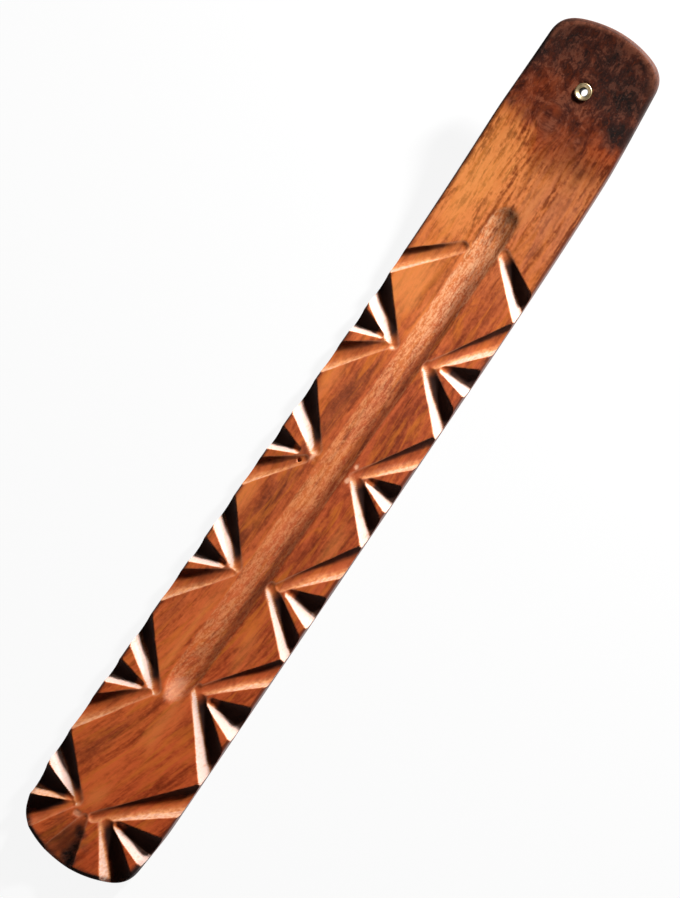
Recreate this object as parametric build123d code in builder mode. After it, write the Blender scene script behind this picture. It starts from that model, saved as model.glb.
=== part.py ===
"""Carved wooden incense holder: a long board with a curled-up end and a brass stick ferrule in the raised tip.

Millimetres. +X runs along the board to the raised tip and +Z is up. The origin is under the middle of the
board, on the surface that it rests on.
"""
import os
from math import asin, cos, degrees, sin, sqrt

from build123d import *

# Board: overall size and the curl of its raised end
board_length = 254.0
board_width = 34.6
board_thickness = 6.0
curl_length = 95.6
tip_lift = 23.5
edge_round = 0.9

# Plan outline of the two ends: bulged end, rounded corners, sides that draw in towards it
end_bulge = 5.2
corner_radius = 7.0
foot_flank = 20.0
foot_inset = 1.35
tip_flank = 32.0
tip_inset = 1.7
flank_radius = 150.0

# Ash trough along the middle of the top
trough_width = 7.6
trough_depth = 1.7
trough_foot_gap = 47.4
trough_tip_gap = 52.8
trough_skew = 1.8

# Round gouge cuts that run out through the edges, and the two blunt ones nearest the curl
gouge_depth_share = 0.36
blunt_radius = 2.9
blunt_start_depth = 1.3
blunt_exit_depth = 2.0

# Brass ferrule that holds the stick
ferrule_setback = 18.3
ferrule_radius = 2.25
ferrule_bore_radius = 1.1
ferrule_stand = 0.5
ferrule_recess = 0.3
ferrule_lip_round = 0.45
ferrule_fit = 0.03

# How far every cut runs past what it cuts
overrun = 2.0

# Gouge cuts as (start x, start y, exit x, exit y, opening width). Places are shares of the half length and half
# width, and the opening, measured across the cut, is a share of the board's width.
foot_star_shares = [
    (-0.909, 0.09, -1.000, 0.02, 0.173),
    (-0.895, 0.35, -0.965, 0.83, 0.199),
    (-0.889, 0.40, -0.903, 1.00, 0.208),
    (-0.909, 0.12, -0.820, 1.00, 0.223),
    (-0.882, -0.15, -0.961, -0.69, 0.220),
    (-0.883, -0.35, -0.896, -1.00, 0.265),
    (-0.902, 0.09, -0.773, -1.00, 0.210),
]
left_fan_shares = [
    (-0.636, 0.35, -0.735, 1.00, 0.207),
    (-0.635, 0.52, -0.641, 1.00, 0.216),
    (-0.626, 0.31, -0.552, 1.00, 0.221),
    (-0.350, 0.35, -0.439, 1.00, 0.215),
    (-0.347, 0.52, -0.352, 1.00, 0.228),
    (-0.337, 0.34, -0.266, 1.00, 0.223),
    (-0.062, 0.32, -0.161, 1.00, 0.197),
    (-0.069, 0.58, -0.075, 1.00, 0.230),
    (-0.054, 0.35, 0.021, 1.00, 0.228),
    (0.211, 0.40, 0.126, 1.00, 0.219),
    (0.222, 0.57, 0.222, 1.00, 0.234),
    (0.219, 0.35, 0.300, 1.00, 0.218),
]
right_fan_shares = [
    (-0.581, -0.17, -0.691, -1.00, 0.217),
    (-0.589, -0.46, -0.596, -1.00, 0.285),
    (-0.583, -0.23, -0.474, -1.00, 0.195),
    (-0.335, -0.21, -0.419, -1.00, 0.175),
    (-0.325, -0.50, -0.333, -1.00, 0.280),
    (-0.327, -0.32, -0.219, -1.00, 0.235),
    (-0.059, -0.32, -0.130, -1.00, 0.207),
    (-0.050, -0.58, -0.055, -1.00, 0.255),
    (-0.051, -0.32, 0.058, -1.00, 0.202),
    (0.218, -0.28, 0.136, -1.00, 0.196),
    (0.231, -0.52, 0.235, -1.00, 0.250),
    (0.226, -0.29, 0.345, -1.00, 0.195),
]
# Blunt cuts as (start x, start y, exit x, exit y)
blunt_shares = [
    (0.456, 0.34, 0.372, 1.00),
    (0.490, -0.39, 0.427, -1.00),
]
# A face counts as top or underside when its normal rises at least this share of upright
upright_share = 0.7

# Worked-out sizes
half_length = board_length / 2
half_width = board_width / 2
under_radius = (curl_length**2 + tip_lift**2) / (2 * tip_lift)
top_radius = under_radius - board_thickness
tip_angle = asin(curl_length / under_radius)
# The tip's lower edge, before its rounding takes it back to the board's overall length
tip_x = half_length + edge_round * (sin(tip_angle) + cos(tip_angle) - 1)
curl_x = tip_x - curl_length


def top_point(x, y):
    """Point of the top face above plan position x, y."""
    rise = top_radius - sqrt(top_radius**2 - max(0, x - curl_x) ** 2)
    return Vector(x, y, board_thickness + rise)


def top_normal(x):
    """Upward normal of the top face at x."""
    slope = asin(max(0, x - curl_x) / top_radius)
    return Vector(-sin(slope), 0, cos(slope))


def gouge_plane(start, exit, lift):
    """Plane whose Z axis runs along a cut, from lift above its start towards its exit."""
    normal = top_normal((start.X + exit.X) / 2)
    return Plane(start + normal * lift, x_dir=normal, z_dir=exit - start)


foot_plane = Plane((-half_length, 0, 0), x_dir=(-1, 0, 0), z_dir=(0, 0, 1))
tip_plane = Plane(
    (tip_x, 0, tip_lift),
    x_dir=(cos(tip_angle), 0, sin(tip_angle)),
    z_dir=(-sin(tip_angle), 0, cos(tip_angle)),
)
ferrule_x = half_length - ferrule_setback
ferrule_seat = Plane(top_point(ferrule_x, 0), x_dir=(0, 1, 0), z_dir=top_normal(ferrule_x))

# Board with its trough, gouge cuts and ferrule hole
with BuildPart() as carved_board:
    # Side view, drawn across the full width
    with BuildSketch(Plane.XZ):
        with BuildLine():
            underside = Line((-half_length, 0), (curl_x, 0))
            under_curl = CenterArc((curl_x, under_radius), under_radius, -90, degrees(tip_angle))
            top_side = Line((-half_length, board_thickness), (curl_x, board_thickness))
            top_curl = CenterArc((curl_x, under_radius), top_radius, -90, degrees(tip_angle))
            Line(under_curl @ 1, top_curl @ 1)
            Line(underside @ 0, top_side @ 0)
        make_face()
    extrude(amount=half_width, both=True)

    # Plan outline of each end, square to the board there
    for end_plane, flank, inset in (
        (foot_plane, foot_flank, foot_inset),
        (tip_plane, tip_flank, tip_inset),
    ):
        reach = board_length + overrun
        corner_y = half_width - inset
        with BuildSketch(end_plane):
            with BuildLine():
                ThreePointArc((-end_bulge, -corner_y), (0, 0), (-end_bulge, corner_y))
                Polyline((-end_bulge, corner_y), (-flank, half_width), (-reach, half_width))
                Line((-reach, half_width), (-reach, -half_width))
                Polyline((-reach, -half_width), (-flank, -half_width), (-end_bulge, -corner_y))
            make_face()
            fillet(vertices().group_by(Axis.X)[1], radius=flank_radius)
            fillet(vertices().group_by(Axis.X)[-1], radius=corner_radius)
        extrude(amount=board_length, both=True, mode=Mode.INTERSECT)

    # Rounded edges all round the top and the underside
    broad_faces = faces().filter_by(lambda face: abs(face.normal_at().Z) > upright_share)
    fillet(broad_faces.edges().filter_by(Axis.Y, reverse=True), radius=edge_round)

    # Ash trough: a round-nosed cut of even depth, slightly askew, with ball ends
    trough_radius = (trough_width**2 / 4 + trough_depth**2) / (2 * trough_depth)
    trough_lift = trough_radius - trough_depth
    nose = trough_width / 2
    trough_foot = -half_length + trough_foot_gap + nose
    trough_tip = half_length - trough_tip_gap - nose
    trough_run = Vector(trough_tip - trough_foot, -trough_skew, 0)
    trough_side = Plane(
        (trough_tip, 0, 0), x_dir=trough_run, z_dir=trough_run.cross(Vector(0, 0, 1))
    )
    trough_arc_radius = top_radius - trough_lift
    trough_arc_angle = asin((trough_tip - curl_x) / trough_arc_radius)
    with BuildLine(trough_side) as trough_path:
        flat_run = Line(
            (-trough_run.length, board_thickness + trough_lift),
            (curl_x - trough_tip, board_thickness + trough_lift),
        )
        curl_run = CenterArc(
            (curl_x - trough_tip, under_radius), trough_arc_radius, -90, degrees(trough_arc_angle)
        )
    with BuildSketch(Plane(trough_path.line @ 0, z_dir=trough_path.line % 0)):
        Circle(trough_radius)
    sweep(path=trough_path.line, mode=Mode.SUBTRACT)
    with Locations(trough_path.line @ 0, trough_path.line @ 1):
        Sphere(trough_radius, mode=Mode.SUBTRACT)

    # Gouge cuts: a cone lying along the top, its lower side sinking from the start to full depth at the edge.
    # It begins clear of the top, a little before the start.
    for start_x, start_y, exit_x, exit_y, opening in foot_star_shares + left_fan_shares + right_fan_shares:
        start = top_point(start_x * half_length, start_y * half_width)
        exit = top_point(exit_x * half_length, exit_y * half_width)
        width = opening * board_width
        depth = gouge_depth_share * width
        nose_radius = (width**2 / 4 - depth**2) / (2 * depth)
        run = (exit - start).length
        lead_in = nose_radius / 2
        cut_length = run + width
        with Locations(gouge_plane(start, exit, nose_radius).offset(-lead_in)):
            Cone(
                nose_radius - depth * lead_in / run,
                nose_radius + depth * cut_length / run,
                lead_in + cut_length,
                align=(Align.CENTER, Align.CENTER, Align.MIN),
                mode=Mode.SUBTRACT,
            )

    # Blunt cuts: an even round cut with a ball end
    for start_x, start_y, exit_x, exit_y in blunt_shares:
        start = top_point(start_x * half_length, start_y * half_width)
        exit = top_point(exit_x * half_length, exit_y * half_width)
        run = (exit - start).length
        cut_length = run + 2 * blunt_radius
        with Locations(gouge_plane(start, exit, blunt_radius - blunt_start_depth)):
            Sphere(blunt_radius, mode=Mode.SUBTRACT)
            Cone(
                blunt_radius,
                blunt_radius + (blunt_exit_depth - blunt_start_depth) * cut_length / run,
                cut_length,
                align=(Align.CENTER, Align.CENTER, Align.MIN),
                mode=Mode.SUBTRACT,
            )

    # Hole for the ferrule, square to the top
    with Locations(ferrule_seat.offset(overrun)):
        Hole(ferrule_radius + ferrule_fit)

# Brass tube with a rounded lip, proud of the top and just short of the underside
with BuildPart() as stick_ferrule:
    with BuildSketch(ferrule_seat.offset(ferrule_recess - board_thickness)):
        Circle(ferrule_radius)
        Circle(ferrule_bore_radius, mode=Mode.SUBTRACT)
    extrude(amount=board_thickness - ferrule_recess + ferrule_stand)
    lip = faces().sort_by(Axis(ferrule_seat.origin, ferrule_seat.z_dir))[-1]
    fillet(lip.edges(), radius=ferrule_lip_round)

carved_board.part.label = "carved_board"
stick_ferrule.part.label = "stick_ferrule"

os.makedirs("parts", exist_ok=True)
export_step(carved_board.part, "parts/carved_board.step")
export_step(stick_ferrule.part, "parts/stick_ferrule.step")
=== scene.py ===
"""Looks of the carved wooden incense holder: the board with its gouged fans, ash trough and scorched tip,
and the brass ferrule that holds the stick.

Lengths of the board and the ferrule are in millimetres until a mesh is made, and MM turns them into metres.
The floor, the light and the camera are set in metres. The board is worked out flat: u runs along its top
face, following the curl, v runs across it, and h is the height over the uncut top.
"""

import math

import bpy
import numpy as np
from mathutils import Matrix, Vector
from mathutils.geometry import delaunay_2d_cdt


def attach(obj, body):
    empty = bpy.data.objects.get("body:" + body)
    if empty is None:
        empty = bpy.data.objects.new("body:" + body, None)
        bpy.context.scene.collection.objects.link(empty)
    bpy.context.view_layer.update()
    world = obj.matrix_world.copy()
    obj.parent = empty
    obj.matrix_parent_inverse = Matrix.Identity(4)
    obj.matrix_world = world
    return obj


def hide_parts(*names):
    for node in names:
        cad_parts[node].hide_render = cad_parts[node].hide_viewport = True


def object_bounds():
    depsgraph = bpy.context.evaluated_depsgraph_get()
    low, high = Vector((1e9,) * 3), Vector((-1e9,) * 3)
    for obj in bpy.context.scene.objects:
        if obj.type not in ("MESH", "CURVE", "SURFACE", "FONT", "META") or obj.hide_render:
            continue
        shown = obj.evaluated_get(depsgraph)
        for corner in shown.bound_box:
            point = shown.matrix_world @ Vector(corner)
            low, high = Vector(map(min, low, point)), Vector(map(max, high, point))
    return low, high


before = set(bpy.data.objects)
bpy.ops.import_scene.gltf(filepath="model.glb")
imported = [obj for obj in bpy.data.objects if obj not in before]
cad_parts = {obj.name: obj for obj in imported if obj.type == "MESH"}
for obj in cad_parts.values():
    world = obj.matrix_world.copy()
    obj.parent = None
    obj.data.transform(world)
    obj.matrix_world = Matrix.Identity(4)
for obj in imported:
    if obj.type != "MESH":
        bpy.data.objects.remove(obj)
cad_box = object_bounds()
MM = 0.001

# Board
half_length = cad_box[1][0] / MM
half_width = cad_box[1][1] / MM
board_thickness = 6.0
curl_length = 95.6
tip_lift = 23.5
edge_round = 0.9
foot_bulge = 5.2
tip_bulge = 4.3
foot_blend = 4.0
tip_blend = 5.5
foot_flank = 20.0
foot_inset = 1.35
tip_flank = 32.0
tip_inset = 1.7

# Ash trough
trough_width = 7.6
trough_depth = 1.7
trough_foot_gap = 46.9
trough_tip_gap = 51.9
trough_skew = 1.8
trough_shift = -0.7
trough_foot_taper = 9.0
trough_tip_taper = 4.5
trough_tip_fade = 10.0
trough_tip_share = 0.48
trough_fullness = 2.4
trough_lip = 0.4

# Gouge cuts
rim_round = 0.28
# Kinds of cut as (start opening, start rim angle, exit rim angle, painted light on the wall that faces the
# tip, towards the key light, painted shade on the wall that faces the foot, away from it, slope along u where
# that painted shade begins). The start opening is a share of the board's width, and the rim angles are in
# degrees.
cut_kinds = {
    "bright": (0.092, 28, 70, 1.0, 1.0, -0.22),
    "middle": (0.065, 52, 76, 1.0, 1.0, -0.40),
    "lower": (0.080, 48, 66, 1.0, 1.0, -0.30),
    "steep": (0.080, 50, 74, 1.0, 1.0, -0.36),
    "salmon": (0.072, 36, 68, 0.66, 0.9, 0.20),
    "first": (0.072, 42, 76, 0.22, 1.0, -0.05),
    "blush": (0.072, 36, 68, 0.76, 0.9, 0.20),
    "dull": (0.062, 34, 60, 0.58, 0.6, 0.15),
    "last": (0.090, 30, 58, 0.68, 0.8, 0.20),
    "broad": (0.060, 30, 52, 0.10, 0.35, 0.0),
    "soft": (0.092, 28, 70, 0.80, 1.0, -0.22),
    "cream": (0.065, 52, 76, 0.66, 1.0, -0.40),
}
# Share of its run over which a cut reaches its exit rim angle
rim_ease = 0.8
# Slopes along u for the light and shade painted on the walls of the cuts: a wall that faces the tip starts to
# be painted pale at the first, is fully pale where it falls by the second, or by up to the third more in the
# duller cuts, and the painted shade on a wall that faces the foot darkens over the fourth
painted_highlight_start = 0.04
painted_highlight_fall = 0.14
painted_highlight_fade = 1.3
painted_shade_rise = 0.28
# Height over the top that stands for no cut
clear_height = 7.6

# Ferrule
ferrule_setback = 18.3
ferrule_radius = 2.25
ferrule_bore_radius = 1.1
ferrule_stand = 0.35
ferrule_roll = 0.28
ferrule_funnel = math.radians(30)
ferrule_recess = 0.3
ferrule_fit = 0.03
ferrule_dent = 0.02
ferrule_bore_chamfer = 0.15
ferrule_end_chamfer = 0.1
ferrule_ring_gap = 0.1

# Mesh steps: on rims, in hollows, on the plain top, along the outline and on the underside
rim_step = 0.19
hollow_step = 0.38
plain_step = 1.14
outline_step = 0.32
underside_step = 5.0
top_round_steps = 6
low_round_steps = 5
side_shares = (0.3, 0.65)
hole_sides = 48
ferrule_sides = 72
# Bend between points of the finest grid that counts as a rim, and how many points a hollow is widened by
rim_bend = 0.03
hollow_margin = 4
# Shares of the half length where the carved edge ends and where the scorch begins
carved_to_share = 0.47
scorched_from_share = 0.68
# How far to each side slopes are measured, and how deep a dip in the side's upper edge is creased
slope_reach = 0.1
crease_depth = 0.1

# Unevenness as layers of noise: (size, length along the first axis, length along the second, seed)
top_waves = [(0.035, 14, 9, 21), (0.012, 5, 1.3, 22)]
trough_wander = [(0.12, 9, 1, 3)]
trough_waves = [(0.04, 7, 0.9, 11), (0.015, 2.5, 0.5, 12)]
cut_wander = [(0.09, 6, 1, 0), (0.04, 1.7, 1, 1)]
cut_streaks = [(0.018, 0.45, 9, 2)]
chip_fray = [(0.25, 0.6, 0.5, 71)]
grain_waves = [(0.9, 38, 15, 31), (0.35, 15, 6, 32)]
band_fray = [(0.35, 12, 1.2, 0), (0.25, 5, 0.6, 1)]
scorch_wander = [(2.0, 8, 5, 41), (1.8, 4, 2.5, 42), (1.2, 1.8, 1.2, 43)]
rust_streaks = [(2.6, 10, 0.9, 46)]
spot_fray = [(1.1, 3, 2.4, 45), (0.6, 1.4, 1.1, 44)]
ruddy_wander = [(1.5, 20, 4, 81)]

# Gouge cuts as (kind, start x, start y, exit x, exit y, exit opening). Places are shares of the half length
# and half width, and the opening, measured across the cut, is a share of the board's width.
gouge_shares = [
    # round the foot end
    ("broad", -0.905, 0.10, -1.000, 0.10, 0.270),
    ("first", -0.895, 0.37, -0.958, 0.88, 0.255),
    ("cream", -0.889, 0.42, -0.893, 1.00, 0.255),
    ("bright", -0.885, 0.34, -0.820, 1.00, 0.215),
    ("soft", -0.882, -0.15, -0.957, -0.69, 0.215),
    ("steep", -0.883, -0.37, -0.888, -1.00, 0.260),
    ("salmon", -0.894, 0.00, -0.768, -1.00, 0.205),
    # fans on the +y edge
    ("dull", -0.636, 0.36, -0.735, 1.00, 0.205),
    ("middle", -0.635, 0.54, -0.641, 1.00, 0.205),
    ("bright", -0.626, 0.32, -0.546, 1.00, 0.205),
    ("dull", -0.350, 0.36, -0.434, 1.00, 0.205),
    ("middle", -0.347, 0.56, -0.350, 1.00, 0.226),
    ("bright", -0.337, 0.36, -0.259, 1.00, 0.212),
    ("dull", -0.078, 0.44, -0.156, 1.00, 0.180),
    ("middle", -0.071, 0.62, -0.073, 1.00, 0.218),
    ("bright", -0.050, 0.38, 0.027, 1.00, 0.232),
    ("dull", 0.215, 0.39, 0.134, 1.00, 0.210),
    ("middle", 0.225, 0.57, 0.226, 1.00, 0.222),
    ("bright", 0.222, 0.33, 0.304, 1.00, 0.214),
    ("last", 0.472, 0.28, 0.377, 1.00, 0.165),
    # fans on the -y edge
    ("bright", -0.581, -0.19, -0.690, -1.00, 0.210),
    ("steep", -0.587, -0.48, -0.590, -1.00, 0.290),
    ("salmon", -0.580, -0.24, -0.468, -1.00, 0.172),
    ("bright", -0.333, -0.24, -0.415, -1.00, 0.178),
    ("lower", -0.323, -0.53, -0.325, -1.00, 0.278),
    ("salmon", -0.324, -0.33, -0.205, -1.00, 0.185),
    ("bright", -0.055, -0.35, -0.129, -1.00, 0.200),
    ("lower", -0.046, -0.58, -0.048, -1.00, 0.243),
    ("salmon", -0.049, -0.35, 0.064, -1.00, 0.192),
    ("bright", 0.222, -0.29, 0.140, -1.00, 0.200),
    ("lower", 0.234, -0.55, 0.240, -1.00, 0.252),
    ("blush", 0.229, -0.34, 0.349, -1.00, 0.184),
    ("bright", 0.503, -0.31, 0.432, -1.00, 0.205),
]
# Chips and the one deep pit in the top, as (x, y, half length, half width, depth, paleness)
chips = [
    (-10.9, 8.6, 0.55, 0.50, 1.20, 0.0),
    (-8.7, -4.7, 0.80, 0.55, 0.06, 0.9),
    (-4.3, -4.7, 0.70, 0.50, 0.06, 0.9),
    (-7.9, 6.2, 1.60, 0.50, 0.08, 0.8),
    (-114.9, 3.7, 0.90, 1.10, 0.12, 0.5),
    (-76.5, 1.3, 3.60, 2.00, 0.02, 0.4),
    (58.5, -12.5, 0.50, 0.40, 0.06, 0.6),
]

# Worked-out sizes of the board
under_radius = (curl_length**2 + tip_lift**2) / (2 * tip_lift)
top_radius = under_radius - board_thickness
tip_angle = math.asin(curl_length / under_radius)
curl_x = half_length + edge_round * (math.sin(tip_angle) + math.cos(tip_angle) - 1) - curl_length
foot_u = -half_length
tip_u = curl_x + top_radius * tip_angle


def along(x):
    """Place u along the top face above x."""
    bend = np.arcsin(np.clip((x - curl_x) / top_radius, 0, 1))
    return np.where(x < curl_x, x, curl_x + top_radius * bend)


ferrule_u = along(half_length - ferrule_setback)


def place(points):
    """Points in space, in metres, of rows of u, v, h."""
    u, v, h = np.asarray(points).T
    bend = np.maximum(u - curl_x, 0) / top_radius
    x = np.minimum(u, curl_x) + (top_radius - h) * np.sin(bend)
    z = under_radius - (top_radius - h) * np.cos(bend)
    return np.stack([x, v, z], axis=1) * MM


def smooth_min(a, b, width):
    """The lower of a and b, eased over width where they cross."""
    mix = np.clip(0.5 + 0.5 * (b - a) / width, 0, 1)
    return b + (a - b) * mix - width * mix * (1 - mix)


def smooth_step(low, high, value):
    """0 below low and 1 above high, eased between."""
    t = np.clip((value - low) / (high - low), 0, 1)
    return t * t * (3 - 2 * t)


def noise(x, y, seed):
    """Smooth noise from -1 to 1 on a unit lattice."""
    xi = np.floor(x).astype(np.int64)
    yi = np.floor(y).astype(np.int64)
    fx = smooth_step(0, 1, x - xi)
    fy = smooth_step(0, 1, y - yi)

    def corner(dx, dy):
        n = (xi + dx) * 374761393 + (yi + dy) * 668265263 + seed * 1274126177
        n = ((n ^ (n >> 13)) * 1103515245) & 0xFFFFFFFF
        return ((n ^ (n >> 16)) & 0xFFFF) / 32767.5 - 1

    near = corner(0, 0) + (corner(1, 0) - corner(0, 0)) * fx
    far = corner(0, 1) + (corner(1, 1) - corner(0, 1)) * fx
    return near + (far - near) * fy


def waves(x, y, layers, seed=0):
    """Sum of layers of noise. The seed is added to each layer's own."""
    return sum(size * noise(x / long, y / wide, seed + own) for size, long, wide, own in layers)


# Carving of the top


def trough_floor(u, v):
    """Floor of the ash trough: steeper at its sides than a round, and running out towards the tip."""
    nose = trough_width / 2
    foot = foot_u + trough_foot_gap
    tip = along(half_length - trough_tip_gap)
    across = v - trough_shift - trough_skew * (tip - u) / (tip - foot)
    across = (across + waves(u, np.zeros_like(u), trough_wander)) / nose
    past_foot = np.maximum(foot + trough_foot_taper - u, 0) / trough_foot_taper
    past_tip = np.maximum(u - tip + trough_tip_taper, 0) / trough_tip_taper
    off = np.sqrt(across**2 + past_foot**2 + past_tip**2)
    depth = trough_depth * (1 - (1 - trough_tip_share) * smooth_step(tip - trough_tip_fade, tip, u))
    return depth * (off**trough_fullness - 1) + waves(u, v, trough_waves)


def gouge_floor(u, v, cut, seed):
    """Floor of one round gouge cut, wider and deeper towards its exit, and the share of its run that is
    reached. The floor rises over the top beside the cut."""
    kind, start_x, start_y, exit_x, exit_y, exit_opening = cut
    start_opening, start_angle, exit_angle, *_ = cut_kinds[kind]
    su, eu = along(start_x * half_length), along(exit_x * half_length)
    sv, ev = start_y * half_width, exit_y * half_width
    run = math.hypot(eu - su, ev - sv)
    du, dv = (eu - su) / run, (ev - sv) / run
    s = (u - su) * du + (v - sv) * dv
    t = (v - sv) * du - (u - su) * dv
    t = t + waves(s, np.zeros_like(s), cut_wander, seed)
    reached = np.clip(s / run, 0, 1.2)
    half_opening = (start_opening + (exit_opening - start_opening) * reached) * half_width
    rim_angle = np.radians(start_angle + (exit_angle - start_angle) * smooth_step(0, rim_ease, reached))
    radius = half_opening / np.sin(rim_angle)
    depth = half_opening * np.tan(rim_angle / 2)
    off = np.hypot(t, np.minimum(s, 0))
    floor = radius - depth - np.sqrt(np.maximum(radius**2 - off**2, 0))
    streaks = waves(t, s, cut_streaks, seed)
    return floor + np.where(off < radius, streaks, off - radius), reached


def carve(u, v):
    """Heights of the carved top at u, v, and how far each point is gouged, has painted light or painted shade
    on a cut wall, is part of the trough, and is pale at a rim or chipped, from 0 to 1, with the slope where
    the painted shade begins."""
    top = waves(u, v, top_waves)
    gouged = np.full(u.shape, clear_height)
    painted_highlight, painted_shade_reach, painted_shade_onset = np.zeros((3, *u.shape))
    for number, cut in enumerate(gouge_shares):
        paleness, painted_shade_weight, painted_shade_slope = cut_kinds[cut[0]][3:]
        floor, reached = gouge_floor(u, v, cut, 100 + 10 * number)
        lowest = floor < gouged
        # Painted light on the wall of the lowest cut that faces the tip, and painted shade on its wall that
        # faces the foot
        painted_highlight = np.where(lowest, paleness * smooth_step(-0.45, 0.15, reached), painted_highlight)
        painted_shade_reach = np.where(lowest, painted_shade_weight * smooth_step(0.02, 0.22, reached), painted_shade_reach)
        painted_shade_onset = np.where(lowest, painted_shade_slope, painted_shade_onset)
        gouged = smooth_min(gouged, floor, rim_round / 2)
    chipped = np.zeros(u.shape)
    for x, y, half_long, half_wide, depth, paleness in chips:
        off = np.hypot((u - along(x)) / half_long, (v - y) / half_wide) + waves(u, v, chip_fray)
        near = np.exp(-np.maximum(off, 0) ** 4)
        top = top - depth * near
        chipped = np.maximum(chipped, paleness * near)
    trough = trough_floor(u, v)
    troughed = smooth_min(top, trough, trough_lip)
    height = smooth_min(troughed, gouged, rim_round)
    gouge_share = smooth_step(-0.10, 0.10, troughed - gouged)
    rim_share = np.clip((np.minimum(troughed, gouged) - height) * 4 / rim_round, 0, 1)
    shares = {"gouged": gouge_share,
              "painted_highlight": painted_highlight * gouge_share,
              "painted_shade_reach": painted_shade_reach * gouge_share,
              "painted_shade_onset": painted_shade_onset,
              "troughed": smooth_step(-0.15, 0.25, top - trough) * (1 - gouge_share),
              "pale_rims_and_chips": np.maximum(0.3 * rim_share, chipped)}
    return height, shares


# Outline of the board


def end_half_width(from_end, bulge, flank, inset, blend):
    """Half width of the board at a distance from one of its ends."""
    corner_y = half_width - inset
    arc_radius = (corner_y**2 + bulge**2) / (2 * bulge)
    arc = np.sqrt(np.maximum(arc_radius**2 - np.maximum(arc_radius - from_end, 0) ** 2, 0))
    drawn_in = (flank - from_end) / (flank - bulge)
    side = half_width - inset * 0.5 * (drawn_in + np.sqrt(drawn_in**2 + 0.02))
    return smooth_min(arc, np.minimum(side, half_width), blend)


def half_width_at(u):
    """Half width of the board at u."""
    foot_half = end_half_width(u - foot_u, foot_bulge, foot_flank, foot_inset, foot_blend)
    tip_half = end_half_width(tip_u - u, tip_bulge, tip_flank, tip_inset, tip_blend)
    return np.minimum(foot_half, tip_half)


def edge_distance(u, v):
    """Distance, about, from the outline of the board."""
    slope = (half_width_at(u + slope_reach) - half_width_at(u - slope_reach)) / (2 * slope_reach)
    return (half_width_at(u) - np.abs(v)) / np.sqrt(1 + slope**2)


def outline():
    """Points u, v round the board, anticlockwise from the middle of the foot end, denser where it is
    carved."""
    ease = np.linspace(0, 1, 4000)
    u = foot_u + (tip_u - foot_u) * (0.5 - 0.5 * np.cos(np.pi * ease))
    w = half_width_at(u)
    w[0] = w[-1] = 0
    length = np.hypot(np.diff(u), np.diff(w))
    carved_to = along(carved_to_share * half_length)
    step = np.where(u[1:] < carved_to, outline_step, 3 * outline_step)
    reach = np.concatenate([[0], np.cumsum(length / step)])
    stations = np.linspace(0, reach[-1], int(reach[-1]) + 1)
    us, ws = np.interp(stations, reach, u), np.interp(stations, reach, w)
    lower = np.stack([us, -ws], axis=1)
    upper = np.stack([us, ws], axis=1)[-2:0:-1]
    return np.concatenate([lower, upper])


def inward(loop):
    """Unit vectors that point into an anticlockwise loop."""
    run = np.roll(loop, -1, axis=0) - np.roll(loop, 1, axis=0)
    run /= np.linalg.norm(run, axis=1)[:, None]
    return np.stack([-run[:, 1], run[:, 0]], axis=1)


def fill(loop, hole, inner):
    """Triangles over loop, hole and inner points, without those in the hole, as indices in that order."""
    points = np.concatenate([loop, hole, inner]).astype(np.float32).astype(float)
    n, m = len(loop), len(hole)
    edges = [(i, (i + 1) % n) for i in range(n)] + [(n + i, n + (i + 1) % m) for i in range(m)]
    found = delaunay_2d_cdt([Vector(p) for p in points], edges, [], 1, 1e-7, True)
    source = [ids[0] for ids in found[3]]
    triangles = np.array([[source[i] for i in face] for face in found[2]])
    a, b, c = points[triangles[:, 0]], points[triangles[:, 1]], points[triangles[:, 2]]
    turn = (b[:, 0] - a[:, 0]) * (c[:, 1] - a[:, 1]) - (b[:, 1] - a[:, 1]) * (c[:, 0] - a[:, 0])
    triangles[turn < 0] = triangles[turn < 0][:, ::-1]
    middle = (a + b + c) / 3
    off = np.linalg.norm(middle - hole.mean(axis=0), axis=1)
    in_hole = off < np.linalg.norm(hole[0] - hole.mean(axis=0)) * math.cos(math.pi / m)
    return triangles[~(in_hole | outside(triangles, points, n))]


def outside(triangles, points, n):
    """True for thin triangles that lie along the outer side of the loop made by the first n points."""
    a, b, c = (points[column] for column in np.sort(triangles, axis=1).T)
    turn = (b[:, 0] - a[:, 0]) * (c[:, 1] - a[:, 1]) - (b[:, 1] - a[:, 1]) * (c[:, 0] - a[:, 0])
    return (triangles < n).all(axis=1) & (turn <= 0)


def inside(points, loop, margin):
    """True for points at least about margin inside a loop that is symmetric about v = 0."""
    half = loop[: len(loop) // 2 + 1]
    u, v = points.T
    before = np.interp(u - margin, half[:, 0], -half[:, 1], left=0)
    after = np.interp(u + margin, half[:, 0], -half[:, 1], right=0)
    return np.abs(v) < np.minimum(before, after) - margin


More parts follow.
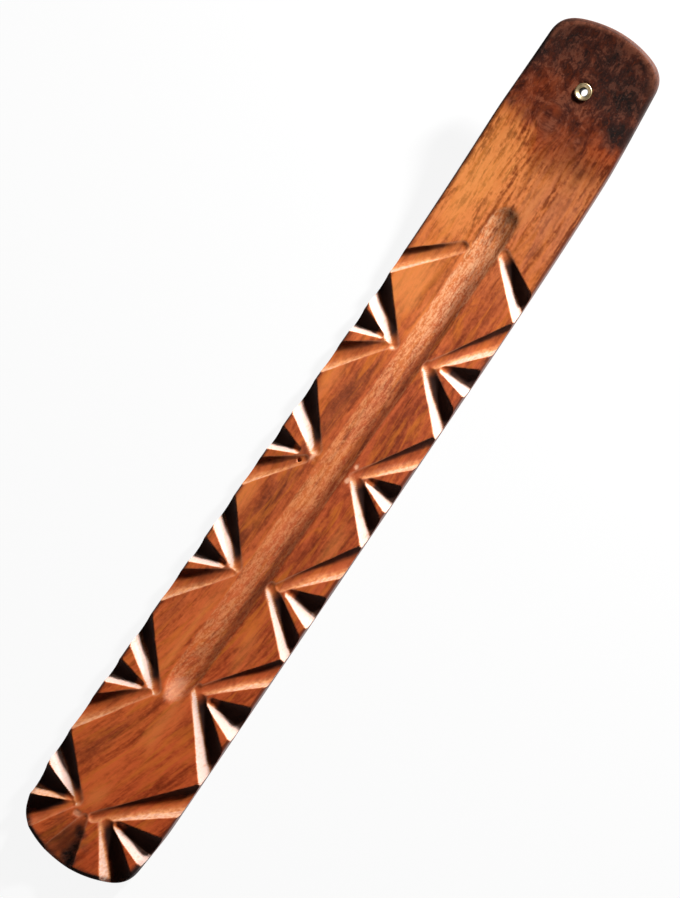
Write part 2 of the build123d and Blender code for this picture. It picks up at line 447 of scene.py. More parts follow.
def top_points(loop, hole):
    """Points of the top inside its rounded edge: a fine grid on rims, thinner in hollows and on the plain
    top."""
    us = np.arange(foot_u, tip_u, rim_step)
    vs = np.arange(-half_width, half_width, rim_step)
    u, v = np.meshgrid(us, vs, indexing="ij")
    height, shares = carve(u.ravel(), v.ravel())
    height = height.reshape(u.shape)
    bend = np.zeros_like(height)
    bend[1:-1] += np.abs(height[2:] + height[:-2] - 2 * height[1:-1])
    bend[:, 1:-1] += np.abs(height[:, 2:] + height[:, :-2] - 2 * height[:, 1:-1])
    sharp = bend > rim_bend
    hollow = np.maximum(shares["gouged"], shares["troughed"]).reshape(u.shape) > 0.02
    for axis in (0, 1):
        sharp = sharp | np.roll(sharp, 1, axis) | np.roll(sharp, -1, axis)
    for _ in range(hollow_margin):
        for axis in (0, 1):
            hollow = hollow | np.roll(hollow, 1, axis) | np.roll(hollow, -1, axis)
    i, j = np.indices(u.shape)
    every = round(hollow_step / rim_step)
    coarse = round(plain_step / rim_step)
    scorched = u > along(scorched_from_share * half_length)
    keep = (i % coarse == 0) & (j % coarse == 0)
    keep |= scorched & (i % (coarse // 2) == 0) & (j % (coarse // 2) == 0)
    keep |= (hollow | sharp) & (i % every == 0) & (j % every == 0)
    keep |= sharp
    points = np.stack([u[keep], v[keep]], axis=1)
    points = points[inside(points, loop, 0.6 * rim_step)]
    middle = hole.mean(axis=0)
    clear = np.linalg.norm(points - middle, axis=1) > np.linalg.norm(hole[0] - middle) + rim_step
    return points[clear]


def underside_points(loop, hole):
    """Points of the underside inside its rounded edge and clear of the hole."""
    grid = np.stack(np.meshgrid(np.arange(foot_u, tip_u, underside_step),
                                np.arange(-half_width, half_width, underside_step)), axis=-1).reshape(-1, 2)
    grid = grid[inside(grid, loop, edge_round)]
    return grid[np.linalg.norm(grid - hole.mean(axis=0), axis=1) > 2 * ferrule_radius]


def hole_outline():
    """Points u, v round the hole that the ferrule sits in."""
    turn = np.linspace(0, 2 * np.pi, hole_sides, endpoint=False)
    radius = ferrule_radius + ferrule_fit
    return np.stack([ferrule_u + np.cos(turn) * radius, np.sin(turn) * radius], axis=1)


def edge_rings(loop):
    """Rings of u, v, h from the top's inner edge, over its rounding, down the side and round to the
    underside."""
    into = inward(loop)
    rings = []
    for turn in np.linspace(math.pi / 2, 0, top_round_steps):
        flat = loop + into * edge_round * (1 - math.cos(turn))
        cut = carve(flat[:, 0], flat[:, 1])[0]
        height = smooth_min(cut, np.full(len(loop), edge_round * (math.sin(turn) - 1)), 0.02)
        rings.append(np.column_stack([flat, height]))
    upper_edge = rings[-1]
    lower_edge = np.column_stack([loop, np.full(len(loop), edge_round - board_thickness)])
    for share in side_shares:
        rings.append(upper_edge + (lower_edge - upper_edge) * share)
    for turn in np.linspace(0, math.pi / 2, low_round_steps):
        flat = loop + into * edge_round * (1 - math.cos(turn))
        height = edge_round * (1 - math.sin(turn)) - board_thickness
        rings.append(np.column_stack([flat, np.full(len(loop), height)]))
    return rings


# Grain and scorch of the wood, with painted shade at the foot end and along the trough

# Knots that the grain runs round, as (x, y, radius, push)
knots = [(99.5, 3.8, 5.5, 3.2), (96.5, -5.5, 3.0, 1.6), (109.0, 0.5, 6.0, 1.2)]
grain_slope = 0.40
grain_turn_u = -66.0
grain_turn_width = 12.0
# Bands of dark heartwood, with painted shade along the trough's -y side and at its tip end, and of pale wood,
# as (x, y, half length, half width, slope, weight)
dark_wood_and_shade_bands = [
    (-22, 9.0, 26, 3.0, -0.03, 0.80),
    (10, 8.0, 16, 2.8, -0.05, 0.90),
    (-62, 13.0, 12, 1.8, -0.06, 0.45),
    (-98, 9.0, 14, 3.4, -0.30, 0.60),
    (-121, 5.0, 5, 4.0, 0.0, 0.70),
    (-80, -7.0, 8, 2.0, -0.25, 0.50),
    (-32, -6.5, 10, 2.0, 0.0, 0.60),
    (10, -9.0, 15, 4.5, 0.0, 0.95),
    # Painted shade: the trough's -y half, which faces away from the key light
    (-45, -1.6, 40, 1.9, -0.016, 0.85),
    (32, -2.6, 44, 2.3, -0.012, 1.00),
    # Painted shade: the trough's tip end, which faces away from the key light
    (70, -1.2, 5, 3.0, 0.0, 0.80),
    (52, 8.8, 12, 0.7, 0.0, 0.40),
    (48, -9.0, 14, 5.0, 0.0, 0.60),
    (91, -9.5, 8, 2.6, 0.12, 0.90),
    (89, 0.6, 9, 1.9, 0.04, 0.95),
    (83, -9.5, 10, 1.5, 0.0, 0.90),
    (78, -11.0, 18, 5.0, 0.0, 0.45),
]
pale_bands = [
    (-59, -8.0, 8, 2.2, 0.10, 0.32),
    (-60, 6.6, 18, 1.0, -0.04, 0.50),
    (-15, 3.4, 30, 1.2, -0.01, 0.35),
    (-28, 15.0, 10, 2.0, 0.0, 0.45),
    (12, 14.0, 8, 2.0, 0.0, 0.40),
    (46, 10.5, 14, 6.0, 0.0, 0.68),
    (42, 2.4, 20, 1.8, -0.01, 0.45),
    (76, 11.0, 20, 6.0, 0.0, 0.85),
    (-109, 2.5, 4, 2.0, -0.20, 0.50),
    (-86, -1.5, 9, 2.0, -0.10, 0.45),
    (-25, -11.5, 8, 2.0, 0.0, 0.35),
    (78, -4.6, 9, 1.9, 0.0, 0.75),
    (83, 5.9, 5, 1.3, 0.0, 0.95),
]
# Scorch: where the wood begins to brown and to blacken, as (y, browning x, blackening x)
scorch_front = [(-17, 102, 104), (-11, 101, 106), (-7, 97, 109), (-3, 95, 110), (3, 95, 110), (8, 96.5, 110),
                (13, 97, 109), (17, 97, 107)]
front_blackness = 0.50
# Where the wood turns rusty before it browns, as (y, x)
rust_front = [(-17, 94), (-11, 90), (-4, 89), (2, 88.5), (5, 94), (10, 97), (17, 98)]
# Scorched spots, and in the last three painted shade in the hollow of the foot end, as (x, y, radius,
# browning, blackening)
scorch_and_shade_spots = [(113, -9.5, 10.0, 1.0, 1.0), (104.5, -14.0, 5.0, 1.0, 0.9), (117, 12, 8.0, 1.0, 0.8),
                (112, 15.5, 4.0, 1.0, 0.8), (119, -2.0, 5.0, 1.0, 0.9), (97.6, -5.4, 3.4, 0.8, 0.15),
                (98.4, 2.6, 4.0, 0.95, 0.20), (104.5, 1.0, 4.2, 1.0, 0.35), (98.5, 15.0, 3.0, 0.85, 0.10),
                (98.6, 10.8, 2.0, 0.75, 0.05),
                # Painted shade: the foot hollow's wall that faces away from the key light, browned and
                # blackened
                (-124.8, -0.6, 2.6, 1.0, 1.0), (-121.6, -0.3, 2.2, 1.0, 1.0), (-118.6, 0.2, 1.8, 0.9, 0.7)]
# Paler spots in the scorch, as (x, y, radius, weight)
scorch_gaps = [(101.8, 4.2, 2.2, 0.4), (101.8, -7.5, 4.0, 0.25), (104.5, 10.5, 5.5, 0.45),
               (101.0, 7.8, 1.2, 0.5)]


def grain_across(u, v):
    """Place across the grain: it runs askew near the foot, straight further on, and round the knots near the
    tip."""
    turn = (u - grain_turn_u) / grain_turn_width
    drift = -grain_slope * grain_turn_width * np.log1p(np.exp(-np.clip(turn, -60, 60)))
    across = v + drift + waves(u, v, grain_waves)
    for x, y, radius, push in knots:
        du, dv = u - along(x), v - y
        near = np.exp(-(du**2 + dv**2) / radius**2)
        across = across - push * np.sign(dv) * (1 - np.exp(-np.abs(dv) / 1.5)) * near
    return across


def band_share(u, v, bands, seed):
    """How far each point lies in one of the bands of other wood, from 0 to 1, with frayed edges."""
    share = np.zeros_like(u)
    for x, y, half_long, half_wide, slope, weight in bands:
        du = (u - along(x)) / half_long
        dv = (v - y - slope * (u - along(x))) / half_wide
        fray = waves(u, v, band_fray, seed)
        share = np.maximum(share, weight * smooth_step(1.25, 0.25, np.sqrt(du**2 + dv**2) + fray))
    return share


def scorch_and_shade_shares(u, v):
    """How far the wood is rusty, browned and blackened by the burning stick, each from 0 to 1. The browning
    and blackening also hold painted shade in the hollow of the foot end.
    """
    slant, across = 0.8 * u + 0.6 * v, 0.8 * v - 0.6 * u
    wander = waves(slant, across, scorch_wander)
    ragged = waves(slant, across, spot_fray)

    def near_spot(x, y, radius):
        """1 at the middle of a ragged spot and 0 outside it."""
        return smooth_step(1.35 * radius, 0.1 * radius, np.hypot(u - along(x), v - y) + ragged)

    ys, rusting = np.array(rust_front).T
    streaked = 0.6 * wander + waves(u, v, rust_streaks)
    rusted = smooth_step(-5.0, 4.0, u + streaked - along(np.interp(v, ys, rusting)))
    ys, browning, blackening = np.array(scorch_front).T
    scorch_brown_and_painted_shade = smooth_step(-4.0, 6.0, u + wander - along(np.interp(v, ys, browning)))
    past_black = u + 1.3 * wander - along(np.interp(v, ys, blackening))
    char_and_painted_shade = smooth_step(-6.0, 5.0, past_black) * front_blackness
    for x, y, radius, weight in scorch_gaps:
        kept = 1 - weight * near_spot(x, y, radius)
        scorch_brown_and_painted_shade = scorch_brown_and_painted_shade * kept
        char_and_painted_shade = char_and_painted_shade * kept
    # Scorched spots, and painted shade in the foot end's hollow
    for x, y, radius, browning_there, blackening_there in scorch_and_shade_spots:
        near = near_spot(x, y, radius)
        scorch_brown_and_painted_shade = np.maximum(scorch_brown_and_painted_shade, browning_there * near)
        char_and_painted_shade = np.maximum(char_and_painted_shade, blackening_there * near)
    return rusted, scorch_brown_and_painted_shade, char_and_painted_shade


def wood_shares(points):
    """Values for the wood's material at rows of u, v, h, each from 0 to 1."""
    u, v, h = points.T
    height, shares = carve(u, v)
    on_top = h > height - 0.05
    shares = {name: share * on_top for name, share in shares.items()}
    rise = (carve(u + slope_reach, v)[0] - carve(u - slope_reach, v)[0]) / (2 * slope_reach)
    # Painted shade on the cut walls that face the foot, away from the key light
    shares["painted_shade"] = smooth_step(0, painted_shade_rise, rise - shares.pop("painted_shade_onset")) * shares.pop("painted_shade_reach")
    # Painted light on the cut walls that face the tip, towards the key light
    fade = painted_highlight_fall + painted_highlight_fade * (1 - shares["painted_highlight"])
    shares["painted_highlight"] = smooth_step(painted_highlight_start, -fade, rise) * shares["painted_highlight"]
    from_edge = np.where(on_top, edge_distance(u, v), 0)
    shares["edge"] = smooth_step(1.5, 0.2, from_edge) * (1 - shares["gouged"])
    shares["rubbed"] = smooth_step(3.0, 0.8, from_edge) * smooth_step(along(113), along(121), u)
    shares["rusted"], shares["scorch_brown_and_painted_shade"], char_and_painted_shade = scorch_and_shade_shares(u, v)
    # Painted shade: the edge of the foot end, which faces away from the key light, blackened
    painted_foot_shade = 0.9 * smooth_step(1.9, 0.4, from_edge) * smooth_step(-112, -121, u)
    shares["char_and_painted_shade"] = np.maximum(char_and_painted_shade, painted_foot_shade)
    ruddy_side = smooth_step(4, -7, v + waves(u, v, ruddy_wander))
    shares["ruddy"] = ruddy_side * smooth_step(along(104), along(80), u)
    shares["dark_wood_and_shade_band"] = band_share(u, v, dark_wood_and_shade_bands, 51)
    shares["pale_band"] = band_share(u, v, pale_bands, 61)
    return shares


# Pieces


def add_object(name, data):
    """Object in the scene for a mesh, a light or a camera."""
    item = bpy.data.objects.new(name, data)
    bpy.context.scene.collection.objects.link(item)
    return item


def build_board():
    """Closed mesh of the carved board."""
    loop = outline()
    hole = hole_outline()
    rings = edge_rings(loop)
    n, m = len(loop), len(hole)
    inner = top_points(rings[0][:, :2], hole)
    top_hole = np.column_stack([hole, carve(*hole.T)[0]])
    top_inner = np.column_stack([inner, carve(*inner.T)[0]])
    grid = underside_points(rings[-1][:, :2], hole)
    low_hole = np.column_stack([hole, np.full(m, -board_thickness)])
    low_inner = np.column_stack([grid, np.full(len(grid), -board_thickness)])

    groups = rings + [top_hole, top_inner, low_hole, low_inner]
    starts = np.cumsum([0] + [len(g) for g in groups])
    points = np.concatenate(groups)
    faces = []
    for k in range(len(rings) - 1):
        for i in range(n):
            j = (i + 1) % n
            a, b = starts[k], starts[k + 1]
            faces.append((a + i, b + i, b + j, a + j))
    top_at = len(rings)
    for loop_start, hole_group, ring, flip in ((starts[0], top_at, rings[0], False),
                                               (starts[top_at - 1], top_at + 2, rings[-1], True)):
        order = np.concatenate([loop_start + np.arange(n), starts[hole_group] + np.arange(m),
                                starts[hole_group + 1] + np.arange(len(groups[hole_group + 1]))])
        triangles = order[fill(ring[:, :2], hole, groups[hole_group + 1][:, :2])]
        faces += [tuple(t[::-1] if flip else t) for t in triangles.tolist()]
    for i in range(m):
        j = (i + 1) % m
        a, b = starts[top_at], starts[top_at + 2]
        faces.append((a + j, b + j, b + i, a + i))

    mesh = bpy.data.meshes.new("board")
    mesh.from_pydata(place(points).tolist(), [], [tuple(int(i) for i in f) for f in faces])
    mesh.validate()
    mesh.shade_smooth()

    # Crisp edge where a cut runs out through the side
    upper = top_round_steps - 1
    first = int(starts[upper])
    dips = rings[upper][:, 2] < -edge_round - crease_depth
    crease = set()
    for i in range(n):
        j = (i + 1) % n
        if dips[i] or dips[j]:
            crease.add((first + min(i, j), first + max(i, j)))
    for edge in mesh.edges:
        if tuple(sorted(edge.vertices)) in crease:
            edge.use_edge_sharp = True

    u, v, h = points.T
    grain = np.column_stack([u, grain_across(u, v), h])
    attribute = mesh.attributes.new("grain", "FLOAT_VECTOR", "POINT")
    attribute.data.foreach_set("vector", grain.astype(np.float32).ravel())
    for name, values in wood_shares(points).items():
        attribute = mesh.attributes.new(name, "FLOAT", "POINT")
        attribute.data.foreach_set("value", values.astype(np.float32))
    return add_object("board", mesh)


def build_ferrule():
    """Brass tube with a funnel mouth and a rolled lip, turned about the bore."""
    low = ferrule_recess - board_thickness
    crest = ferrule_radius - ferrule_roll
    mouth = ferrule_stand - (crest - ferrule_bore_radius) * math.tan(ferrule_funnel)
    profile = [(ferrule_bore_radius + ferrule_bore_chamfer, low),
               (ferrule_bore_radius, low + ferrule_bore_chamfer),
               (ferrule_bore_radius, low * 0.5),
               (ferrule_bore_radius, mouth - ferrule_ring_gap)]
    for share in np.linspace(0.03, 0.9, 6):
        profile.append((ferrule_bore_radius + (crest - ferrule_bore_radius) * share,
                        mouth + (ferrule_stand - mouth) * share))
    for turn in np.linspace(math.pi / 2, 0, 7):
        profile.append((crest + ferrule_roll * math.cos(turn),
                        ferrule_stand - ferrule_roll * (1 - math.sin(turn))))
    profile += [(ferrule_radius, low * 0.5),
                (ferrule_radius, low + ferrule_end_chamfer),
                (ferrule_radius - ferrule_end_chamfer, low)]
    points, faces = [], []
    for k in range(ferrule_sides):
        turn = 2 * math.pi * k / ferrule_sides
        for radius, height in profile:
            out = radius + ferrule_dent * math.sin(3 * turn + 1) * smooth_step(-0.5, 0.4, height)
            points.append((ferrule_u + out * math.cos(turn), out * math.sin(turn), height))
    count = len(profile)
    for k in range(ferrule_sides):
        a, b = k * count, ((k + 1) % ferrule_sides) * count
        for p in range(count):
            q = (p + 1) % count
            faces.append((a + p, a + q, b + q, b + p))
    mesh = bpy.data.meshes.new("ferrule")
    mesh.from_pydata(place_straight(points).tolist(), [], faces)
    mesh.validate()
    mesh.shade_smooth()
    inner = [radius < crest and height < mouth + 0.02 for radius, height in profile]
    sooty = mesh.attributes.new("sooty", "FLOAT", "POINT")
    sooty.data.foreach_set("value", np.tile(np.array(inner, dtype=np.float32), ferrule_sides))
    return add_object("ferrule", mesh)


def place_straight(points):
    """Points in space, in metres, of rows of u, v, h taken square to the top at the ferrule."""
    u, v, h = np.asarray(points).T
    bend = (ferrule_u - curl_x) / top_radius
    x = curl_x + (top_radius - h) * math.sin(bend) + (u - ferrule_u) * math.cos(bend)
    z = under_radius - (top_radius - h) * math.cos(bend) + (u - ferrule_u) * math.sin(bend)
    return np.stack([x, v, z], axis=1) * MM


# Materials


def linear(red, green, blue):
    """A colour given as 0 to 255 screen values."""
    values = [c / 255 for c in (red, green, blue)]
    return tuple(c / 12.92 if c <= 0.04045 else ((c + 0.055) / 1.055) ** 2.4 for c in values) + (1,)


class Nodes:
    """Short ways to add nodes to one material."""

    def __init__(self, name):
        self.material = bpy.data.materials.new(name)
        self.material.use_nodes = True
        self.tree = self.material.node_tree
        self.shader = self.tree.nodes["Principled BSDF"]

    def link(self, value, socket):
        if isinstance(value, bpy.types.NodeSocket):
            self.tree.links.new(value, socket)
        else:
            socket.default_value = value

    def attribute(self, name, output="Fac"):
        node = self.tree.nodes.new("ShaderNodeAttribute")
        node.attribute_name = name
        return node.outputs[output]

    def math(self, operation, *values, clamp=False):
        node = self.tree.nodes.new("ShaderNodeMath")
        node.operation = operation
        node.use_clamp = clamp
        for value, socket in zip(values, node.inputs):
            self.link(value, socket)
        return node.outputs[0]

    def times(self, *values, clamp=False):
        return self.math("MULTIPLY", *values, clamp=clamp)

    def total(self, start, *parts):
        """The start plus each part times its weight."""
        for part, weight in parts:
            start = self.math("ADD", start, self.times(part, weight))
        return start

    def scaled(self, vector, factors):
        node = self.tree.nodes.new("ShaderNodeVectorMath")
        node.operation = "MULTIPLY"
        self.link(vector, node.inputs[0])
        node.inputs[1].default_value = factors
        return node.outputs[0]

    def noise(self, vector, factors, detail=2.0, roughness=0.5, distortion=0.0):
        node = self.tree.nodes.new("ShaderNodeTexNoise")
        self.link(self.scaled(vector, factors), node.inputs["Vector"])
        node.inputs["Scale"].default_value = 1.0
        node.inputs["Detail"].default_value = detail
        node.inputs["Roughness"].default_value = roughness
        node.inputs["Distortion"].default_value = distortion
        return node.outputs[0]

    def ramp(self, value, *stops):
        node = self.tree.nodes.new("ShaderNodeValToRGB")
        self.link(value, node.inputs[0])
        elements = node.color_ramp.elements
        while len(elements) < len(stops):
            elements.new(0.5)
        for element, (position, colour) in zip(elements, stops):
            element.position = position
            element.color = colour if isinstance(colour, tuple) else (colour, colour, colour, 1)
        return node.outputs[0]

    def mix(self, factor, a, b, blend="MIX"):
        node = self.tree.nodes.new("ShaderNodeMix")
        node.data_type = "RGBA"
        node.blend_type = blend
        self.link(factor, node.inputs[0])
        self.link(a, node.inputs[6])
        self.link(b, node.inputs[7])
        return node.outputs[2]

    def bump(self, height, strength, distance):
        node = self.tree.nodes.new("ShaderNodeBump")
        node.inputs["Strength"].default_value = strength
        node.inputs["Distance"].default_value = distance
        self.link(height, node.inputs["Height"])
        return node.outputs[0]


def wood_material():
    """Varnished hardwood with streaks and pores, dusty in the trough, and scorched at the tip, with painted
    light and painted shade on the walls of the cuts, painted shade along the trough and at the foot end, and
    painted glints and sheen."""
    n = Nodes("carved_hardwood")
    grain = n.attribute("grain", "Vector")
    gouged, troughed, pale_rims_and_chips = n.attribute("gouged"), n.attribute("troughed"), n.attribute("pale_rims_and_chips")
    scorch_brown_and_painted_shade, char_and_painted_shade = n.attribute("scorch_brown_and_painted_shade"), n.attribute("char_and_painted_shade")
    # Masks of the light and shade painted on the walls of the cuts
    painted_shade, painted_highlight, edge = n.attribute("painted_shade"), n.attribute("painted_highlight"), n.attribute("edge")
    dark_wood_and_shade_band, pale_band, rubbed = n.attribute("dark_wood_and_shade_band"), n.attribute("pale_band"), n.attribute("rubbed")
    ruddy, rusted = n.attribute("ruddy"), n.attribute("rusted")

    # Noises, with their scales along and across the grain
    broad = n.noise(grain, (0.030, 0.20, 0.20), detail=3, roughness=0.55, distortion=0.8)
    streak = n.noise(grain, (0.045, 0.60, 0.60), detail=4, roughness=0.58, distortion=0.4)
    amber = n.noise(grain, (0.060, 0.40, 0.40), detail=4, roughness=0.60, distortion=1.0)
    mottle = n.noise(grain, (0.26, 0.70, 0.70), detail=4, roughness=0.62, distortion=0.7)
    fleck = n.noise(grain, (0.30, 2.0, 2.0), detail=4, roughness=0.60)
    curl = n.noise(grain, (0.30, 0.16, 0.16), detail=2, roughness=0.5, distortion=1.2)
    fibre = n.noise(grain, (0.35, 4.2, 4.2), detail=3, roughness=0.6)
    speckle = n.noise(grain, (2.0, 2.8, 2.8), detail=3, roughness=0.65)
    soot = n.noise(grain, (0.50, 0.62, 0.62), detail=5, roughness=0.68, distortion=1.0)
    cloud = n.noise(grain, (0.90, 1.10, 1.10), detail=3, roughness=0.60)
    sand = n.noise(grain, (1.0, 1.7, 1.7), detail=3, roughness=0.60)
    ray = n.noise(grain, (0.15, 0.90, 0.90), detail=4, roughness=0.62, distortion=0.3)
    smoke = n.noise(grain, (0.17, 0.20, 0.20), detail=4, roughness=0.60, distortion=1.6)
    pore = n.ramp(n.noise(grain, (0.55, 5.0, 5.0), detail=2, roughness=0.5), (0.60, 0.0), (0.72, 1.0))

    # Colour along the board, from the foot to the tip
    separate = n.tree.nodes.new("ShaderNodeSeparateXYZ")
    n.link(grain, separate.inputs[0])
    place_along = n.math("MULTIPLY_ADD", separate.outputs[0], 1 / (2 * half_length), 0.5)
    zone = n.ramp(place_along, (0.00, linear(216, 98, 50)), (0.16, linear(220, 104, 53)),
                  (0.34, linear(200, 98, 54)), (0.50, linear(190, 92, 51)), (0.62, linear(194, 98, 54)),
                  (0.72, linear(208, 114, 63)), (0.84, linear(226, 131, 70)), (0.90, linear(220, 118, 60)))

    # Light and dark of the grain, with a livelier figure towards the tip
    tone = n.total(-0.770, (broad, 0.65), (streak, 0.56), (ray, 0.45), (mottle, 0.44), (fleck, 0.16),
                   (cloud, 0.26), (fibre, 0.05))
    figured = n.ramp(place_along, (0.70, 0.0), (0.80, 1.0))
    figure = n.total(-1.025, (curl, 0.55), (ray, 1.2), (cloud, 0.30))
    tone = n.total(tone, (figure, figured), (pale_band, 0.09), (dark_wood_and_shade_band, -0.14))
    shade = n.ramp(tone, (0.26, (0.32, 0.24, 0.20, 1)), (0.42, (0.58, 0.50, 0.46, 1)),
                   (0.52, (0.80, 0.76, 0.72, 1)), (0.66, (1.0, 1.0, 1.0, 1)))
    colour = n.mix(1.0, zone, shade, "MULTIPLY")
    colour = n.mix(ruddy, colour, n.mix(1.0, colour, (0.86, 0.75, 0.78, 1), "MULTIPLY"))
    # Colour of dark heartwood, also given to the painted shade along the trough
    dark_wood_and_shade_colour = n.mix(ruddy, linear(112, 62, 42), linear(118, 50, 28))
    colour = n.mix(n.times(dark_wood_and_shade_band, 0.40), colour, dark_wood_and_shade_colour)
    golden = n.ramp(amber, (0.50, 0.0), (0.66, 1.0))
    colour = n.mix(n.times(golden, 0.50), colour, linear(208, 114, 40))
    colour = n.mix(n.times(pale_band, 0.50), colour, linear(240, 156, 80))
    # Painted glints: pale orange flecks, brighter and more of them in the curly figure, for its shimmer
    glint = n.total(n.times(cloud, 0.5), (ray, 0.5))
    painted_gleam = n.times(n.ramp(glint, (0.46, 0.0), (0.60, 1.0)), n.math("MULTIPLY_ADD", figured, 0.10, 0.14))
    colour = n.mix(painted_gleam, colour, n.mix(figured, linear(214, 112, 52), linear(246, 166, 98)))
    # Painted sheen: dull mauve streaks along the grain on the ruddy side of the tip half
    painted_sheen = n.times(n.times(ruddy, figured), n.ramp(streak, (0.42, 0.10), (0.56, 0.45)))
    colour = n.mix(painted_sheen, colour, linear(188, 114, 78))
    colour = n.mix(n.times(pore, 0.12), colour, linear(84, 36, 22))

    # Trough: sanded, with pale flecks of dust, and cleaner where a dark band crosses it, the painted shade on
    # its -y side among them
    coarse_grit = n.noise(grain, (0.30, 1.1, 1.1), detail=5, roughness=0.72)
    fine_grit = n.noise(grain, (1.5, 2.4, 2.4), detail=3, roughness=0.60)
    grit = n.total(n.times(fine_grit, 0.4), (coarse_grit, 0.6))
    dust = n.times(n.ramp(grit, (0.45, 0.0), (0.565, 1.0)), n.ramp(place_along, (0.55, 0.52), (0.68, 0.86)))
    sanded = n.mix(0.30, colour, linear(150, 74, 42))
    flecks = n.ramp(place_along, (0.55, linear(226, 158, 104)), (0.68, linear(224, 172, 128)))
    swept = n.math("MULTIPLY_ADD", dark_wood_and_shade_band, -0.85, 1.0)
    colour = n.mix(n.times(n.times(troughed, swept), 0.80), colour, n.mix(dust, sanded, flecks))

    # Edges darker, cuts and rims paler than the top. Painted light: cut walls that face the tip, towards the
    # key
    # light, pale to near white. Painted shade: cut walls that face the foot, away from it, near black
    colour = n.mix(n.ramp(edge, (0.0, 0.0), (0.85, 0.45), (1.0, 0.86)), colour, linear(80, 35, 21))
    colour = n.mix(n.times(gouged, 0.25), colour, linear(190, 100, 58))
    # Painted light: the tip-facing cut walls pale, and near white where the painted highlight is strongest
    painted_highlight_mottle = n.times(painted_highlight, n.math("MULTIPLY_ADD", fleck, 1.1, 0.45))
    painted_highlight_colour = n.ramp(cloud, (0.40, linear(206, 130, 80)), (0.60, linear(242, 174, 118)))
    colour = n.mix(n.times(painted_highlight_mottle, 1.4, clamp=True), colour, painted_highlight_colour)
    colour = n.mix(n.math("MULTIPLY_ADD", painted_highlight_mottle, 2.0, -1.0, clamp=True), colour, linear(236, 200, 186))
    colour = n.mix(pale_rims_and_chips, colour, linear(230, 168, 132))
    # Painted shade: the foot-facing cut walls near black
    colour = n.mix(n.times(painted_shade, 0.97), colour, linear(32, 16, 11))

    # Scorch, rusty where it begins, or smoky on the ruddy side of the board. The same browning and blackening
    # carry painted shade in the foot end's hollow and along its edge
    rusty = n.mix(1.0, colour, (0.60, 0.39, 0.42, 1), "MULTIPLY")
    smoky = n.mix(1.0, colour, (0.52, 0.47, 0.52, 1), "MULTIPLY")
    colour = n.mix(rusted, colour, n.mix(n.times(ruddy, 2.0, clamp=True), rusty, smoky))
    char = n.total(n.times(smoke, 0.40), (soot, 0.40), (sand, 0.20))
    brown = n.ramp(char, (0.44, linear(53, 23, 16)), (0.50, linear(91, 43, 31)), (0.56, linear(146, 80, 55)))
    black = n.ramp(char, (0.44, linear(16, 9, 7)), (0.50, linear(36, 18, 13)), (0.56, linear(96, 54, 40)))
    ash = n.times(n.ramp(speckle, (0.58, 0.0), (0.72, 1.0)), 0.26)
    black = n.mix(ash, black, linear(168, 140, 124))
    ragged = n.times(n.math("SUBTRACT", soot, 0.5), 2.2)
    browning = n.times(n.total(scorch_brown_and_painted_shade, (ragged, scorch_brown_and_painted_shade)), 0.92, clamp=True)
    blackening = n.times(n.total(char_and_painted_shade, (ragged, char_and_painted_shade)), 0.95, clamp=True)
    colour = n.mix(browning, colour, brown)
    colour = n.mix(blackening, colour, black)
    rub = n.times(rubbed, n.ramp(soot, (0.42, 0.35), (0.56, 1.0)))
    colour = n.mix(rub, colour, linear(164, 98, 72))
    # Scorched edges near black, and the foot end's edge near black as painted shade
    charred_and_shaded_edge = n.times(n.times(edge, char_and_painted_shade), 1.6, clamp=True)
    colour = n.mix(charred_and_shaded_edge, colour, linear(42, 22, 17))

    n.link(colour, n.shader.inputs["Base Color"])
    rough = n.total(0.32, (fibre, 0.16), (troughed, 0.12))
    rough = n.math("ADD", rough, n.times(n.math("MAXIMUM", char_and_painted_shade, painted_shade), 0.45), clamp=True)
    n.link(rough, n.shader.inputs["Roughness"])
    n.shader.inputs["Specular IOR Level"].default_value = 0.2
    relief = n.total(n.times(fibre, 0.5), (pore, -0.8), (n.times(speckle, troughed), 0.8))
    n.link(n.bump(relief, strength=0.30, distance=0.00012), n.shader.inputs["Normal"])
    return n.material


def brass_material():
    """Drawn brass, lightly tarnished, with fine turning marks and soot in the bore."""
    n = Nodes("drawn_brass")
    coordinates = n.tree.nodes.new("ShaderNodeTexCoord").outputs["Object"]
    tarnish = n.noise(coordinates, (900.0, 900.0, 900.0), detail=4, roughness=0.6)
    marks = n.noise(coordinates, (400.0, 400.0, 9000.0), detail=2)
    colour = n.ramp(tarnish, (0.35, linear(196, 168, 120)), (0.65, linear(242, 222, 180)))
    sooty = n.attribute("sooty")
    colour = n.mix(n.times(sooty, 0.92), colour, linear(40, 28, 20))
    n.link(colour, n.shader.inputs["Base Color"])
    n.shader.inputs["Metallic"].default_value = 1.0
    rough = n.total(n.ramp(tarnish, (0.3, 0.50), (0.7, 0.38)), (sooty, 0.35))
    n.link(rough, n.shader.inputs["Roughness"])
    n.link(n.bump(marks, strength=0.15, distance=0.00003), n.shader.inputs["Normal"])
    return n.material


def add_piece(piece, node, material):
    """Dresses a piece that stands for a CAD node."""
    piece.data.materials.append(material)
    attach(piece, "root")
    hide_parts(node)


add_piece(build_board(), "carved_board", wood_material())
add_piece(build_ferrule(), "stick_ferrule", brass_material())

# Floor and surroundings: white to the camera, and the floor keeps a soft shadow

shown_white = ("Is Camera Ray", "Is Glossy Ray", "Is Transmission Ray")


def seen_directly(tree):
    """1 for rays that show the surroundings themselves: camera, mirror and see-through rays."""
    path = tree.nodes.new("ShaderNodeLightPath")
    total = path.outputs[shown_white[0]]
    for name in shown_white[1:]:
        node = tree.nodes.new("ShaderNodeMath")
        node.operation = "MAXIMUM"
        tree.links.new(total, node.inputs[0])
        tree.links.new(path.outputs[name], node.inputs[1])
        total = node.outputs[0]
    return total


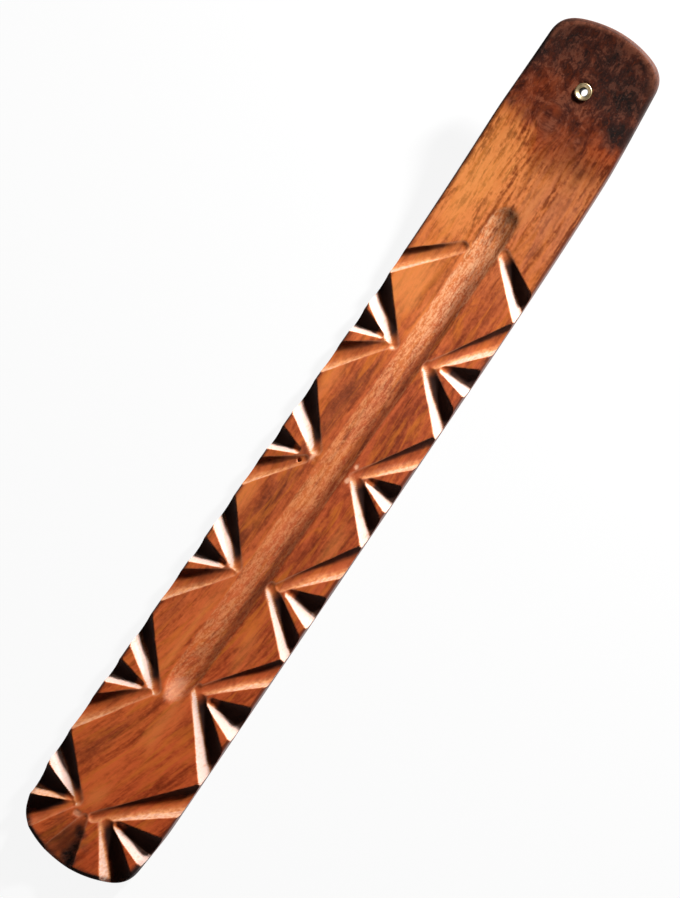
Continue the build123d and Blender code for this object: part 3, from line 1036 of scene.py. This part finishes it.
floor_size = 6.0
floor_drop = 0.00005
floor_grey = 0.72
floor_glow = 0.91
floor_mesh = bpy.data.meshes.new("floor")
reach = floor_size / 2
floor_mesh.from_pydata([(-reach, -reach, -floor_drop), (reach, -reach, -floor_drop),
                        (reach, reach, -floor_drop), (-reach, reach, -floor_drop)], [], [(0, 1, 2, 3)])
floor = add_object("floor", floor_mesh)
floor_nodes = Nodes("pale_floor")
floor_nodes.shader.inputs["Base Color"].default_value = (floor_grey, floor_grey, floor_grey, 1)
floor_nodes.shader.inputs["Roughness"].default_value = 0.9
floor_nodes.shader.inputs["Specular IOR Level"].default_value = 0.0
glow = floor_nodes.tree.nodes.new("ShaderNodeEmission")
floor_mix = floor_nodes.tree.nodes.new("ShaderNodeMixShader")
floor_nodes.link(floor_nodes.times(seen_directly(floor_nodes.tree), floor_glow), floor_mix.inputs[0])
floor_nodes.link(floor_nodes.shader.outputs[0], floor_mix.inputs[1])
floor_nodes.link(glow.outputs[0], floor_mix.inputs[2])
floor_nodes.link(floor_mix.outputs[0], floor_nodes.tree.nodes["Material Output"].inputs["Surface"])
floor_mesh.materials.append(floor_nodes.material)

# Surroundings that look white low down and dark overhead, and give a faint even light

scene = bpy.context.scene
ambient = 0.02
dark_above = 0.45
white_below = 0.15
world = bpy.data.worlds.new("studio")
world.use_nodes = True
scene.world = world
sky = world.node_tree
background = sky.nodes["Background"]
background.inputs["Color"].default_value = (1, 1, 1, 1)
direction = sky.nodes.new("ShaderNodeTexCoord")
rise = sky.nodes.new("ShaderNodeSeparateXYZ")
sky.links.new(direction.outputs["Generated"], rise.inputs[0])
walls = sky.nodes.new("ShaderNodeMapRange")
walls.interpolation_type = "SMOOTHSTEP"
sky.links.new(rise.outputs["Z"], walls.inputs["Value"])
walls.inputs["From Min"].default_value = dark_above
walls.inputs["From Max"].default_value = white_below
shown = sky.nodes.new("ShaderNodeMath")
shown.operation = "MULTIPLY"
sky.links.new(seen_directly(sky), shown.inputs[0])
sky.links.new(walls.outputs[0], shown.inputs[1])
lift = sky.nodes.new("ShaderNodeMath")
lift.operation = "MULTIPLY_ADD"
sky.links.new(shown.outputs[0], lift.inputs[0])
lift.inputs[1].default_value = 1.0 - ambient
lift.inputs[2].default_value = ambient
sky.links.new(lift.outputs[0], background.inputs["Strength"])

# One low key light from the side of the tip

key_at = Vector((0.42, -0.12, 0.23))
key = bpy.data.lights.new("key", "AREA")
key.shape = "DISK"
key.size = 0.06
key.energy = 5.9
key_object = add_object("key", key)
key_object.location = key_at
key_object.rotation_euler = key_at.to_track_quat("Z", "Y").to_euler()
key_object.visible_camera = False

# Camera at the photograph's viewing angle

camera_tilt = math.radians(14.07)
camera_turn = math.radians(33.81)
camera_distance = 0.515
camera_aim = Vector((-0.0015, 0.0023, 0.0))
camera = bpy.data.cameras.new("camera")
camera.sensor_width = 36.0
camera.lens = 79.66
camera_object = add_object("camera", camera)
back = Vector((-math.sin(camera_tilt) * math.cos(camera_turn), -math.sin(camera_tilt) * math.sin(camera_turn),
               math.cos(camera_tilt)))
heading = Vector((math.cos(camera_turn), math.sin(camera_turn), 0))
right = (-back).cross(heading).normalized()
up = right.cross(-back)
pose = Matrix((right, up, back)).transposed().to_4x4()
pose.translation = camera_aim + back * camera_distance
camera_object.matrix_world = pose
scene.camera = camera_object
scene.view_settings.view_transform = "Standard"
